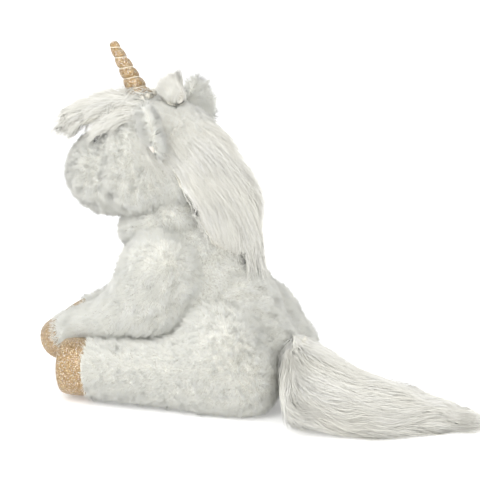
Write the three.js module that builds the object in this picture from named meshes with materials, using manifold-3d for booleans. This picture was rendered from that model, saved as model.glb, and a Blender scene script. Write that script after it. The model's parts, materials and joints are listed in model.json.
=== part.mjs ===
// Plush unicorn, seated: a sewn plush body with stuffing, floppy legs, glitter hooves and a spiral horn.
// Millimetres, +Z up. The unicorn faces -Y and its left side is +X. The origin is on the floor under
// the middle of the seat. Every skin is a hollow sewn bag, and its stuffing is a solid of its own.
import * as THREE from "three";
import { mergeVertices } from "three/addons/utils/BufferGeometryUtils.js";
import Module from "manifold-3d";

const wasm = await Module();
wasm.setup();

// ---- driving dimensions ------------------------------------------------------------------------

const GAP = 0.35; // between faces that touch on the real toy
const SWING = 0.6; // between faces that move past each other
const LIMB_GAP = 1.2; // between a hind hoof and the forearm that lies over it
const FAR = 400; // larger than the toy, for cutting planes
const SKIN = 3; // plush backing and the dense foot of its pile
const FLOOR = 0; // the toy sits on this height

const TORSO = { height: 162, halfWidth: 47, halfLength: 70 };
const NECK = { radius: 38, y: -18, hole: 22 };
const HEAD = {
  cranium: { y: -22, z: 34, size: [46, 46, 42] },
  occiput: { y: 2, z: 26, size: [38, 34, 38] },
  muzzle: { y: -55, z: 16, size: [38, 35, 32] },
};
const SHOULDER = {
  y: -0.2 * TORSO.halfLength,
  z: TORSO.height - 50,
  radius: 20,
  pocketRadius: TORSO.halfLength - 24,
  pocketX: TORSO.halfWidth - 21.5,
};
const FORELEG = {
  wristRadius: 14,
  wristX: TORSO.halfWidth - 5,
  wristY: 8 - TORSO.halfLength,
  wristZ: 71,
  hoofX: 25,
  hoofY: -35 - TORSO.halfLength,
  hoofZ: 43,
};
const FORE_HOOF = { radius: 17.5, length: 24, wall: 2.2 };
const THIGH = { y: 34, size: [28, 38, 42], sink: 3, splayRoom: 8.5 };
const HIND_LEG = { kneeRadius: 27, ankleRadius: 22, ankleY: 2 - TORSO.halfLength };
const HIND_HOOF = { radius: 23.5, length: 30, wall: 2.4, lift: 3.5 };
const HORN = {
  length: 54,
  baseRadius: 8.2,
  tipRadius: 3.6,
  turns: 6,
  groove: 1.1,
  lean: 32,
  y: -30,
  wall: 1.6,
};
// An ear stands beside the cranium: out, y and z place its foot from the cranium's side and middle.
const EAR = { height: 36, width: 26, thickness: 3.4, lining: 1.4, out: 3.5, y: 20, z: 13, tilt: 14, yaw: 35 };
const EYE = { radius: 6, height: 3.6, stemRadius: 2, stemLength: 11, washerRadius: 8, washerThickness: 1.8 };
const EYE_DIRECTION = new THREE.Vector3(0.43, -0.86, 0.27);
const FORELOCK = { size: [25, 44, 10.5], droop: 23, forward: 34, below: 11 };
const CROWN_TUFT = { size: [17, 12, 15], y: -4, above: 8 };
const MANE_FRONT = { y: 22, lean: 25 };
const POUCH = { y: 30, z: 15, size: [16, 45, 10] };

// ---- geometry helpers --------------------------------------------------------------------------

// A closed three.js geometry as a solid for joining and cutting.
function solid(geometry) {
  const bare = geometry.clone();
  bare.deleteAttribute("normal");
  bare.deleteAttribute("uv");
  const merged = mergeVertices(bare, 1e-4);
  const index = merged.index.array;
  const faces = [];
  for (let i = 0; i < index.length; i += 3) {
    const [a, b, c] = [index[i], index[i + 1], index[i + 2]];
    if (a !== b && b !== c && c !== a) faces.push(a, b, c);
  }
  const vertProperties = new Float32Array(merged.attributes.position.array);
  const triVerts = new Uint32Array(faces);
  return new wasm.Manifold(new wasm.Mesh({ numProp: 3, vertProperties, triVerts }));
}

function geometryOf(manifold) {
  const { vertProperties, triVerts } = manifold.getMesh();
  const geometry = new THREE.BufferGeometry();
  geometry.setAttribute("position", new THREE.BufferAttribute(new Float32Array(vertProperties), 3));
  geometry.setIndex(new THREE.BufferAttribute(new Uint32Array(triVerts), 1));
  geometry.computeVertexNormals();
  return geometry;
}

// A surface through rings of equally many points, closed by a fan at each end.
function skinOver(rings) {
  const sides = rings[0].length;
  const points = rings.flat();
  const index = [];
  for (let r = 0; r + 1 < rings.length; r++) {
    for (let s = 0; s < sides; s++) {
      const a = r * sides + s;
      const b = r * sides + ((s + 1) % sides);
      index.push(a, b, b + sides, a, b + sides, a + sides);
    }
  }
  const centre = (ring) => ring.reduce((sum, p) => sum.add(p), new THREE.Vector3()).divideScalar(sides);
  const first = points.push(centre(rings[0])) - 1;
  const last = points.push(centre(rings.at(-1))) - 1;
  const top = (rings.length - 1) * sides;
  for (let s = 0; s < sides; s++) {
    const next = (s + 1) % sides;
    index.push(first, next, s);
    index.push(last, top + s, top + next);
  }
  const geometry = new THREE.BufferGeometry().setFromPoints(points);
  geometry.setIndex(index);
  return geometry;
}

// The sides of a round shape: an inside needs fewer than the face that shows.
const roundness = (grow, shown) => (grow < 0 ? Math.round(shown * 0.7) : shown);

// Level ellipses one above another: rows of height, middle y, half width and half length.
function loft(rows, grow = 0, shown = 20) {
  const sides = roundness(grow, shown);
  const rings = rows.map(([z, y, halfWidth, halfLength]) =>
    Array.from({ length: sides }, (_, s) => {
      const angle = (s / sides) * 2 * Math.PI;
      const x = (halfWidth + grow) * Math.cos(angle);
      return new THREE.Vector3(x, y + (halfLength + grow) * Math.sin(angle), z);
    }),
  );
  return solid(skinOver(rings));
}

function ellipsoid([x, y, z], size, grow = 0, across = 16, up = 10) {
  const geometry = new THREE.SphereGeometry(1, roundness(grow, across), roundness(grow, up));
  geometry.rotateX(Math.PI / 2);
  geometry.scale(...size.map((half) => half + grow));
  geometry.translate(x, y, z);
  return solid(geometry);
}

// Turns a geometry made along +Y so that it starts at one point and runs towards another.
function aim(geometry, from, towards) {
  const direction = towards.clone().sub(from).normalize();
  const turn = new THREE.Quaternion().setFromUnitVectors(new THREE.Vector3(0, 1, 0), direction);
  geometry.applyQuaternion(turn);
  geometry.translate(from.x, from.y, from.z);
  return geometry;
}

// A round-ended limb from one point to another, with a radius at each end.
function limb(from, to, fromRadius, toRadius, sides = 12) {
  const length = from.distanceTo(to);
  const tilt = Math.asin((fromRadius - toRadius) / length);
  const profile = [];
  const steps = 3;
  for (let i = 0; i <= steps; i++) {
    const angle = -Math.PI / 2 + (i / steps) * (Math.PI / 2 + tilt);
    profile.push(new THREE.Vector2(fromRadius * Math.cos(angle), fromRadius * Math.sin(angle)));
  }
  for (let i = 0; i <= steps; i++) {
    const angle = tilt + (i / steps) * (Math.PI / 2 - tilt);
    profile.push(new THREE.Vector2(toRadius * Math.cos(angle), length + toRadius * Math.sin(angle)));
  }
  profile[0].x = 0;
  profile.at(-1).x = 0;
  return solid(aim(new THREE.LatheGeometry(profile, sides), from, to));
}

function turned(profile, from, towards, sides = 16) {
  const points = profile.map(([radius, height]) => new THREE.Vector2(radius, height));
  return solid(aim(new THREE.LatheGeometry(points, sides), from, towards));
}

function cylinder(from, to, radius, sides = 20) {
  const length = from.distanceTo(to);
  const geometry = new THREE.CylinderGeometry(radius, radius, length, sides);
  geometry.translate(0, length / 2, 0);
  return solid(aim(geometry, from, to));
}

function box(low, high) {
  const size = high.map((value, i) => value - low[i]);
  const geometry = new THREE.BoxGeometry(...size);
  geometry.translate(...low.map((value, i) => value + size[i] / 2));
  return solid(geometry);
}

const belowFloor = box([-FAR, -FAR, -FAR], [FAR, FAR, FLOOR]);
const point = (x, y, z) => new THREE.Vector3(x, y, z);
const joined = (...solids) => solids.reduce((sum, next) => sum.add(next));

// ---- model tree --------------------------------------------------------------------------------

const unicorn = new THREE.Group();

const FINISHES = {
  plush: { color: 0xf6f4f0, roughness: 0.95, metalness: 0 },
  longFur: { color: 0xf3ecdb, roughness: 0.85, metalness: 0 },
  lining: { color: 0xf4ece2, roughness: 0.9, metalness: 0 },
  glitter: { color: 0xc9a463, roughness: 0.35, metalness: 0.6 },
  stuffing: { color: 0xfafafa, roughness: 1, metalness: 0 },
  pouch: { color: 0xe9e6de, roughness: 0.9, metalness: 0 },
  eye: { color: 0x15110f, roughness: 0.08, metalness: 0 },
  washer: { color: 0xf0f0ee, roughness: 0.5, metalness: 0 },
};

function add(name, shape, finish, parent = unicorn) {
  const geometry = shape.isBufferGeometry ? shape : geometryOf(shape);
  const mesh = new THREE.Mesh(geometry, new THREE.MeshStandardMaterial(FINISHES[finish]));
  mesh.name = name;
  parent.add(mesh);
  return mesh;
}

// ---- limbs: places that the torso, the hooves and the legs share ---------------------------------

const SIDES = { left: 1, right: -1 };

const shoulderX = SHOULDER.pocketX + SWING + SHOULDER.radius;
const shoulder = point(shoulderX, SHOULDER.y, SHOULDER.z);
const wrist = point(FORELEG.wristX, FORELEG.wristY, FORELEG.wristZ);
const foreAnkle = point(FORELEG.hoofX, FORELEG.hoofY, FORELEG.hoofZ);

const hip = point(TORSO.halfWidth - THIGH.sink, THIGH.y, THIGH.size[2]);
const hindHoofZ = HIND_HOOF.radius + HIND_HOOF.lift;
// The hind hoof lies beside the forearm that passes over it, a limb gap away.
const hindHoofMiddleY = HIND_LEG.ankleY - HIND_HOOF.length / 2;
const along = (hindHoofMiddleY - wrist.y) / (foreAnkle.y - wrist.y);
const beside = wrist.clone().lerp(foreAnkle, along);
const apart = FORELEG.wristRadius + HIND_HOOF.radius + LIMB_GAP;
const hindHoofX = beside.x + Math.sqrt(Math.max(apart ** 2 - (beside.z - hindHoofZ) ** 2, 0));
const hindAnkle = point(hindHoofX, HIND_LEG.ankleY, hindHoofZ);
const knee = point(hip.x + 2, hip.y - 10, HIND_LEG.kneeRadius + 3);

const mirror = (p, side) => point(p.x * side, p.y, p.z);

// A foreleg's plush tube up to its hoof, grown or shrunk all over.
function forelegBody(side, grow) {
  const [s, w, a] = [shoulder, wrist, foreAnkle].map((p) => mirror(p, side));
  const upper = limb(s, w, SHOULDER.radius + grow, FORELEG.wristRadius + 2 + grow);
  const lower = limb(w, a, FORELEG.wristRadius + 2 + grow, FORELEG.wristRadius + grow);
  return joined(upper, lower);
}

function hindLegBody(side, grow) {
  const [h, k, a] = [hip, knee, hindAnkle].map((p) => mirror(p, side));
  const thigh = ellipsoid(h.toArray(), THIGH.size, grow);
  const shank = limb(k, a, HIND_LEG.kneeRadius + grow, HIND_LEG.ankleRadius + grow);
  return joined(thigh, shank);
}

// ---- torso and neck ------------------------------------------------------------------------------

// Rows of height, middle, half width and half length, as shares of TORSO's sizes.
const TORSO_ROWS = [
  [0, 0.37, 0.64, 0.63],
  [0.03, 0.37, 0.85, 0.77],
  [0.11, 0.36, 0.96, 0.87],
  [0.235, 0.3, 1, 0.96],
  [0.36, 0.23, 0.98, 1],
  [0.48, 0.115, 0.92, 0.97],
  [0.59, -0.015, 0.86, 0.86],
  [0.69, -0.115, 0.83, 0.76],
  [0.77, -0.2, 0.81, 0.65],
];

function torsoRows(shorten = 0) {
  const rows = TORSO_ROWS.map(([z, y, width, length]) => [
    Math.max(z * TORSO.height, FLOOR + shorten),
    y * TORSO.halfLength,
    width * TORSO.halfWidth,
    length * TORSO.halfLength,
  ]);
  const neckFoot = 0.85 * TORSO.height;
  rows.push([neckFoot, NECK.y, NECK.radius, NECK.radius]);
  rows.push([TORSO.height - shorten, NECK.y, NECK.radius, NECK.radius]);
  return rows.filter(([z], i) => i === 0 || z > rows[i - 1][0]);
}

// The room that the forelegs and hind legs take out of the torso's flanks.
function limbPockets(grow) {
  const pockets = Object.values(SIDES).map((side) => {
    const inner = point(side * (SHOULDER.pocketX - grow), SHOULDER.y, SHOULDER.z);
    const outer = point(side * FAR, SHOULDER.y, SHOULDER.z);
    const swing = cylinder(inner, outer, SHOULDER.pocketRadius + grow);
    const lid = SHOULDER.z + SHOULDER.radius + SWING + grow;
    const armPocket = swing.subtract(box([-FAR * 2, -FAR, lid], [FAR * 2, FAR, FAR]));
    const splayRoom = [THIGH.size[0] + THIGH.splayRoom, THIGH.size[1], THIGH.size[2]];
    const thighPocket = ellipsoid(mirror(hip, side).toArray(), splayRoom, SWING + grow);
    const armRest = forelegBody(side, SWING + grow);
    return joined(armPocket, armRest, hindLegBody(side, SWING + grow), thighPocket);
  });
  return joined(...pockets);
}

const neckAxis = (z) => point(0, NECK.y, z);

function buildTorso() {
  const outer = loft(torsoRows()).subtract(limbPockets(0));
  const hollow = loft(torsoRows(SKIN), -SKIN).subtract(limbPockets(SKIN));
  const neckHole = cylinder(neckAxis(TORSO.height - 2 * SKIN), neckAxis(FAR), NECK.hole);
  add("body_skin", outer.subtract(hollow).subtract(neckHole), "plush");

  const pouchRoom = ellipsoid([0, POUCH.y, POUCH.z], POUCH.size, GAP);
  const inset = SKIN + GAP;
  const inside = loft(torsoRows(inset), -inset).subtract(limbPockets(inset));
  const pouch = ellipsoid([0, POUCH.y, POUCH.z], POUCH.size).intersect(inside);
  const filling = inside.subtract(pouchRoom);
  const neckPlug = cylinder(neckAxis(TORSO.height - 3 * SKIN), neckAxis(TORSO.height), NECK.hole - GAP);
  add("body_stuffing", joined(filling, neckPlug), "stuffing");
  add("pellet_pouch", pouch, "pouch");
}

// ---- head ------------------------------------------------------------------------------------------

const headAt = (y, z) => [0, NECK.y + y, TORSO.height + z];

function headBulk(grow) {
  return joined(...Object.values(HEAD).map(({ y, z, size }) => ellipsoid(headAt(y, z), size, grow)));
}

// The neck's end reaches into the head: this is its room, grown all over.
function neckRoom(grow) {
  return cylinder(neckAxis(-FAR), neckAxis(TORSO.height + GAP + grow), NECK.radius + SWING + grow);
}

const cranium = point(...headAt(HEAD.cranium.y, HEAD.cranium.z));

// A point on the cranium and the way it faces, from a direction as seen from its middle.
function onCranium(direction, side = 1) {
  const unit = mirror(direction.clone().normalize(), side);
  const size = point(...HEAD.cranium.size);
  return {
    place: unit.clone().multiply(size).add(cranium),
    facing: unit.clone().divide(size).normalize(),
  };
}

// Heights along an eye's stem, from the skin's face outwards.
const washerTop = -(SKIN + 1.4);
const washerBottom = washerTop - EYE.washerThickness;

function eyeAt(side, distance) {
  const { place, facing } = onCranium(EYE_DIRECTION, side);
  return place.addScaledVector(facing, distance);
}

function eyeRod(side, radius, from, to) {
  return cylinder(eyeAt(side, from), eyeAt(side, to), radius, 12);
}

function buildEyes() {
  for (const [name, side] of Object.entries(SIDES)) {
    const brim = 0.6;
    const steps = 4;
    const dome = [[0, 0]];
    for (let i = 0; i <= steps; i++) {
      const angle = (i / steps) * (Math.PI / 2);
      dome.push([EYE.radius * Math.cos(angle), brim + EYE.height * Math.sin(angle)]);
    }
    dome.splice(1, 0, [EYE.radius, 0]);
    dome.at(-1)[0] = 0;
    const cap = turned(dome, eyeAt(side, GAP), eyeAt(side, 10));
    const stem = eyeRod(side, EYE.stemRadius, -EYE.stemLength, GAP + brim);
    add(`eye_${name}`, joined(cap, stem), "eye");

    const disc = eyeRod(side, EYE.washerRadius, washerBottom, washerTop);
    const bore = eyeRod(side, EYE.stemRadius + GAP, washerBottom - 5, washerTop + 5);
    add(`eye_washer_${name}`, disc.subtract(bore), "washer");
  }
}

// The room of both eyes: a seat for the dome, the stem's hole, and the washer's up to a given height.
function eyeRoom(washerReach) {
  const rooms = Object.values(SIDES).map((side) => {
    const seat = eyeRod(side, EYE.radius + GAP, 0, 8);
    const stem = eyeRod(side, EYE.stemRadius + GAP, -EYE.stemLength - GAP, 8);
    const washer = eyeRod(side, EYE.washerRadius + GAP, washerBottom - GAP, washerReach);
    return joined(seat, stem, washer);
  });
  return joined(...rooms);
}

function buildHead() {
  const neckHole = cylinder(neckAxis(0), neckAxis(TORSO.height + 3 * SKIN), NECK.hole);
  const shell = headBulk(0).subtract(neckRoom(0)).subtract(headBulk(-SKIN).subtract(neckRoom(SKIN)));
  add("head_skin", shell.subtract(neckHole).subtract(eyeRoom(washerTop + GAP)), "plush");

  const inset = SKIN + GAP;
  const filling = headBulk(-inset).subtract(neckRoom(inset));
  const plugFoot = TORSO.height + 2 * GAP;
  const plug = cylinder(neckAxis(plugFoot), neckAxis(plugFoot + 4 * SKIN), NECK.hole - GAP);
  add("head_stuffing", joined(filling, plug).subtract(eyeRoom(0)), "stuffing");
}

// ---- horn ------------------------------------------------------------------------------------------

const hornLean = THREE.MathUtils.degToRad(HORN.lean);
const hornUp = point(0, -Math.sin(hornLean), Math.cos(hornLean));
const hornFootY = NECK.y + HORN.y;

// The height of the cranium's top at a given y on the middle line.
function craniumTop(y) {
  const [, length, height] = HEAD.cranium.size;
  return cranium.z + height * Math.sqrt(1 - ((y - cranium.y) / length) ** 2);
}

const hornFoot = point(0, hornFootY, craniumTop(hornFootY));

// A tapering horn whose surface swells between the windings of a thread.
function spiral(length, baseRadius, tipRadius, groove, sides = 12, levels = 30) {
  const rings = [];
  for (let level = 0; level <= levels; level++) {
    const share = level / levels;
    const taper = THREE.MathUtils.lerp(baseRadius, tipRadius, share);
    const roundTip = Math.sqrt(1 - Math.max(0, (share - 0.94) / 0.06) ** 2 * 0.97);
    const ring = [];
    for (let s = 0; s < sides; s++) {
      const angle = (s / sides) * 2 * Math.PI;
      const winding = Math.abs(Math.sin(angle / 2 + share * HORN.turns * Math.PI));
      const radius = (taper - groove * (1 - winding) ** 1.5) * roundTip;
      ring.push(point(radius * Math.cos(angle), share * length, -radius * Math.sin(angle)));
    }
    rings.push(ring);
  }
  return solid(aim(skinOver(rings), hornFoot, hornFoot.clone().add(hornUp)));
}

const hornAt = (distance) => hornFoot.clone().addScaledVector(hornUp, distance);

// The cone inside the horn, shrunk from its outer taper and stopped short of its tip.
function hornCore(shrink, stop) {
  const profile = [
    [0, -10],
    [HORN.baseRadius - shrink, -10],
    [HORN.tipRadius - shrink, HORN.length - stop],
    [0, HORN.length - stop],
  ];
  return turned(profile, hornFoot, hornAt(10));
}

function buildHorn() {
  const scalp = headBulk(GAP);
  const outer = spiral(HORN.length, HORN.baseRadius, HORN.tipRadius, HORN.groove);
  const hollow = HORN.groove + HORN.wall;
  add("horn_cover", outer.subtract(hornCore(hollow, 4)).subtract(scalp), "glitter");
  const outside = cylinder(hornAt(-4), hornAt(FAR), HORN.baseRadius);
  const core = hornCore(hollow + GAP, 4 + GAP).subtract(scalp).intersect(outside);
  add("horn_stuffing", core, "stuffing");
}

// ---- long fur on the head ----------------------------------------------------------------------------

const MANE_ROWS = [
  // height above the neck's top, half width, half length about the neck's axis
  [-46, 34, 71],
  [-32, 40, 72],
  [-12, 44, 67],
  [8, 47, 61],
  [23, 48, 54],
  [38, 46, 43],
  [53, 38, 30],
  [68, 18, 19],
];

function buildHeadFur() {
  const scalp = headBulk(GAP);
  const hornRoom = turned(
    [
      [0, -12],
      [HORN.baseRadius + GAP, -12],
      [HORN.baseRadius + GAP, HORN.length],
      [0, HORN.length],
    ],
    hornFoot,
    hornAt(10),
    20,
  );

  const lock = new THREE.SphereGeometry(1, 18, 10);
  lock.rotateX(Math.PI / 2);
  lock.scale(...FORELOCK.size);
  lock.rotateX(THREE.MathUtils.degToRad(FORELOCK.droop));
  lock.translate(0, hornFoot.y - FORELOCK.forward, hornFoot.z - FORELOCK.below);
  add("forelock", solid(lock).subtract(scalp).subtract(hornRoom), "longFur");

  const tuftY = NECK.y + CROWN_TUFT.y;
  const tuftMiddle = [0, tuftY, craniumTop(tuftY) + CROWN_TUFT.above];
  const tuft = ellipsoid(tuftMiddle, CROWN_TUFT.size, 0, 14, 8);
  add("crown_tuft", tuft.subtract(scalp).subtract(hornRoom), "longFur");

  const rows = MANE_ROWS.map(([z, width, length]) => [TORSO.height + z, NECK.y, width, length]);
  const collarSides = 24;
  const outOfRound = 1 / Math.cos(Math.PI / collarSides);
  const swept = torsoRows().map(([z, y, , length]) => [(y + length - NECK.y + SWING) * outOfRound, z]);
  const top = TORSO.height + 1;
  const collarProfile = [[0, 0], ...swept.filter(([, z]) => z > 0), [swept.at(-1)[0], top], [0, top]];
  collarProfile.splice(1, 0, [swept[0][0], 0]);
  const collar = turned(collarProfile, neckAxis(0), neckAxis(10), collarSides);
  const front = new THREE.BoxGeometry(FAR, FAR, FAR);
  front.translate(0, -FAR / 2, 0);
  front.rotateX(THREE.MathUtils.degToRad(MANE_FRONT.lean));
  front.translate(0, NECK.y + MANE_FRONT.y, TORSO.height);
  const crown = ellipsoid(tuftMiddle, CROWN_TUFT.size, GAP, 14, 8);
  const mane = loft(rows, 0, 24).subtract(scalp).subtract(collar).subtract(solid(front)).subtract(crown);
  add("mane", mane, "longFur");
}

// ---- ears --------------------------------------------------------------------------------------------

// A leaf standing on its short foot, drawn in its own plane.
function leaf(scale) {
  const half = (EAR.width / 2) * scale;
  const tall = EAR.height * (0.5 + scale / 2);
  const shape = new THREE.Shape();
  const foot = half * 0.62;
  shape.moveTo(-foot, 0);
  shape.lineTo(foot, 0);
  shape.bezierCurveTo(half * 1.25, tall * 0.3, half * 0.95, tall * 0.72, half * 0.12, tall);
  shape.lineTo(-half * 0.12, tall);
  shape.bezierCurveTo(-half * 0.95, tall * 0.72, -half * 1.25, tall * 0.3, -foot, 0);
  return shape;
}

function buildEars() {
  for (const [name, side] of Object.entries(SIDES)) {
    const ear = new THREE.Group();
    const foot = point(cranium.x + HEAD.cranium.size[0] + EAR.out, cranium.y + EAR.y, cranium.z + EAR.z);
    ear.position.copy(mirror(foot, side));
    ear.rotation.order = "ZYX";
    ear.rotation.z = THREE.MathUtils.degToRad(side * EAR.yaw);
    ear.rotation.x = THREE.MathUtils.degToRad(90 + EAR.tilt);
    unicorn.add(ear);
    const options = { bevelEnabled: false, curveSegments: 6 };
    const outer = new THREE.ExtrudeGeometry(leaf(1), { ...options, depth: EAR.thickness });
    outer.translate(0, 0, -EAR.thickness);
    const lining = new THREE.ExtrudeGeometry(leaf(0.78), { ...options, depth: EAR.lining });
    lining.translate(0, 1.5, GAP);
    add(`ear_${name}`, geometryOf(solid(outer)), "plush", ear);
    add(`ear_lining_${name}`, geometryOf(solid(lining)), "lining", ear);
  }
}

// ---- legs and hooves ---------------------------------------------------------------------------------

// A sewn hoof on the end of a leg: an open cup and a domed sole disc set in its front edge.
function buildHoof(names, ankle, towards, hoof, legRadius) {
  const { radius, length, wall } = hoof;
  const inner = radius - wall;
  const rim = radius * 0.86;
  const cup = [
    [legRadius - 1, 0],
    [radius - 0.6, 0],
    [radius, length * 0.35],
    [radius * 0.985, length * 0.62],
    [radius * 0.93, length * 0.84],
    [rim, length * 0.93],
    [rim - wall, length * 0.93],
    [inner * 0.93, length * 0.8],
    [inner * 0.985, length * 0.6],
    [inner, length * 0.35],
    [legRadius - 1, 0],
  ];
  const sole = [
    [0, length * 0.86],
    [rim - wall - GAP, length * 0.86],
    [rim - wall - GAP, length * 0.94],
    [(rim - wall) * 0.8, length * 0.985],
    [(rim - wall) * 0.45, length * 1.02],
    [0, length * 1.03],
  ];
  const fill = [
    [0, 1],
    [legRadius - SKIN - GAP, 1],
    [inner - GAP, length * 0.36],
    [inner * 0.985 - GAP, length * 0.58],
    [inner * 0.93 - GAP - 0.4, length * 0.78],
    [(rim - wall) * 0.9, length * 0.84],
    [0, length * 0.84],
  ];
  add(names.hoof, turned(cup, ankle, towards), "glitter");
  add(names.sole, turned(sole, ankle, towards), "glitter");
  return turned(fill, ankle, towards);
}

// Cuts a limb square at its ankle, keeping what is on the body's side.
function cutAt(body, ankle, towards) {
  const direction = towards.clone().sub(ankle).normalize();
  const far = ankle.clone().addScaledVector(direction, FAR);
  return body.subtract(cylinder(ankle, far, FAR / 2, 8));
}

function buildLegs() {
  for (const [name, side] of Object.entries(SIDES)) {
    for (const leg of ["fore", "hind"]) {
      const fore = leg === "fore";
      const ankle = mirror(fore ? foreAnkle : hindAnkle, side);
      const before = mirror(fore ? wrist : knee, side);
      const towards = ankle.clone().multiplyScalar(2).sub(before);
      const body = fore ? forelegBody : hindLegBody;
      const hoof = fore ? FORE_HOOF : HIND_HOOF;
      const radius = fore ? FORELEG.wristRadius : HIND_LEG.ankleRadius;
      const legName = fore ? "foreleg" : "hind_leg";
      const direction = towards.clone().sub(ankle).normalize();
      const cuff = ankle.clone().addScaledVector(direction, -GAP);

      const outer = cutAt(body(side, 0), cuff, towards).subtract(belowFloor);
      const inside = box([-FAR, -FAR, FLOOR + SKIN], [FAR, FAR, FAR]);
      const skin = outer.subtract(body(side, -SKIN).intersect(inside));
      add(`${legName}_${name}_skin`, skin, "plush");

      const names = { hoof: `${leg}_hoof_${name}`, sole: `${leg}_sole_${name}` };
      const hoofFill = buildHoof(names, ankle, towards, hoof, radius);
      const inset = SKIN + GAP;
      const aboveFloor = box([-FAR, -FAR, FLOOR + inset], [FAR, FAR, FAR]);
      const neckIn = ankle.clone().addScaledVector(direction, 2);
      const fill = cutAt(body(side, -inset), neckIn, towards).intersect(aboveFloor);
      add(`${legName}_${name}_stuffing`, joined(fill, hoofFill), "stuffing");
    }
  }
}

// ---- tail --------------------------------------------------------------------------------------------

// Slices across the hair of the tail, from its root backwards: distance behind the root's front, middle x,
// middle z, half width and half height.
const TAIL_SLICES = [
  [0, 2, 50, 8, 8],
  [6, 18, 40, 23, 22],
  [15, 33, 29, 38, 27],
  [32, 42, 24, 42, 23],
  [52, 43, 19, 41, 18],
  [80, 39, 15, 35, 14],
  [108, 31, 11, 26, 10],
  [136, 21, 8, 15, 6.5],
  [159, 14, 5, 5, 3],
];

function buildTail() {
  const rumpBack = Math.max(...torsoRows().map(([, y, , length]) => y + length));
  const start = rumpBack + SWING;
  const sides = 18;
  const rings = TAIL_SLICES.map(([back, x, z, width, height]) =>
    Array.from({ length: sides }, (_, s) => {
      const angle = (s / sides) * 2 * Math.PI;
      return point(x - width * Math.cos(angle), start + back, z + height * Math.sin(angle));
    }),
  );
  add("tail", solid(skinOver(rings)).subtract(belowFloor), "longFur");
}

buildTorso();
buildHead();
buildEyes();
buildHorn();
buildHeadFur();
buildEars();
buildLegs();
buildTail();

export default unicorn;
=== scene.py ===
"""Plush unicorn, seated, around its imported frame: furred coats, long mane and tail, glitter hooves and horn.

Lengths in this script are millimetres, and meshes are written in metres. The unicorn faces -Y.
"""
import json
import math

import bpy
import numpy as np
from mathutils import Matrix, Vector
from mathutils.bvhtree import BVHTree


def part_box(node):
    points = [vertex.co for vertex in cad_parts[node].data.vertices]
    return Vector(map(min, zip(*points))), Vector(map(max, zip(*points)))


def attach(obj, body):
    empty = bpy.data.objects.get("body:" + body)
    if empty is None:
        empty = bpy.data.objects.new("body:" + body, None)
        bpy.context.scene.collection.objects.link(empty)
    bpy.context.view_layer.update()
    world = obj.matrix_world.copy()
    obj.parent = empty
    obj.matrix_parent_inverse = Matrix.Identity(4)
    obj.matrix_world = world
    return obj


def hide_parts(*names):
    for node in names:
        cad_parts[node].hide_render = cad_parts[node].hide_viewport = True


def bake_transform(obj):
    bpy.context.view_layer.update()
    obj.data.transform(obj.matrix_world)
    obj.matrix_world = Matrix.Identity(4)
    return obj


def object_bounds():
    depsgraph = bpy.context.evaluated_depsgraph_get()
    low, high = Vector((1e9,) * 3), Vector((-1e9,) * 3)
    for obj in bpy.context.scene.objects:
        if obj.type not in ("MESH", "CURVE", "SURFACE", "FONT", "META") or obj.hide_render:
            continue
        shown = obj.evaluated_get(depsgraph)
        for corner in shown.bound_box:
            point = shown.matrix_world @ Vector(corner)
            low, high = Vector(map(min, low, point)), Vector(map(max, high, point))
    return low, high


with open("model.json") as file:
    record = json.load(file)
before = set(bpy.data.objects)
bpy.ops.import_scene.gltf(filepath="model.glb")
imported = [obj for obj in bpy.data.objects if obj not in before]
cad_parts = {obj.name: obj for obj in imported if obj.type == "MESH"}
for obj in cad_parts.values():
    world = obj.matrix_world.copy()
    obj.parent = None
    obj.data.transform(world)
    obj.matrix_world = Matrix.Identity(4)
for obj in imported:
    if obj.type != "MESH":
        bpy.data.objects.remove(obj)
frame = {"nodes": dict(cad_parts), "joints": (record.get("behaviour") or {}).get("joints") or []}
cad_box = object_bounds()

MM = 0.001
UP = np.array([0.0, 0.0, 1.0])
SIDES = {"left": 1, "right": -1}
SLOPE_STEP = 0.4


# ---- places taken from the frame -----------------------------------------------------------------

class Room:
    """The box round some CAD nodes at rest, in millimetres."""

    def __init__(self, *nodes):
        corners = np.array([[list(corner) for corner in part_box(node)] for node in nodes]) / MM
        self.low = corners[:, 0].min(0)
        self.high = corners[:, 1].max(0)
        self.middle = (self.low + self.high) / 2
        self.half = (self.high - self.low) / 2

    def off(self, x, y, z):
        """A point so far from the box's middle."""
        return self.middle + (x, y, z)


def joint_place(name):
    """Where a joint's axis passes, in millimetres."""
    joint = next(j for j in frame["joints"] if j["name"] == name)
    return np.array(joint["pos_m"], float) / MM


def node_points(node):
    """A CAD node's corner points at rest."""
    vertices = frame["nodes"][node].data.vertices
    flat = np.zeros(len(vertices) * 3)
    vertices.foreach_get("co", flat)
    return flat.reshape(-1, 3) / MM


def unit(vectors):
    """The same directions at length one."""
    vectors = np.asarray(vectors, float)
    return vectors / np.maximum(np.linalg.norm(vectors, axis=-1, keepdims=True), 1e-9)


def mirrored(point, side):
    """A point of the left side, moved to the side asked for."""
    return np.array(point, float) * (side, 1, 1)


# ---- soft forms: signed distances, negative inside -----------------------------------------------

def ellipsoid(middle, half, tilt=0.0, square=2.0):
    """A round lump; tilt raises its rear end, in degrees, and square above 2 fills its corners out."""
    half = np.array(half, float)
    cos, sin = math.cos(math.radians(tilt)), math.sin(math.radians(tilt))
    turn = np.array([[1, 0, 0], [0, cos, sin], [0, -sin, cos]])

    def distance(p):
        q = (p - middle) @ turn.T
        near = (np.abs(q / half) ** square).sum(1) ** (1 / square)
        return np.linalg.norm(q, axis=1) * (1 - 1 / np.maximum(near, 0.05))

    return distance


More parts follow.
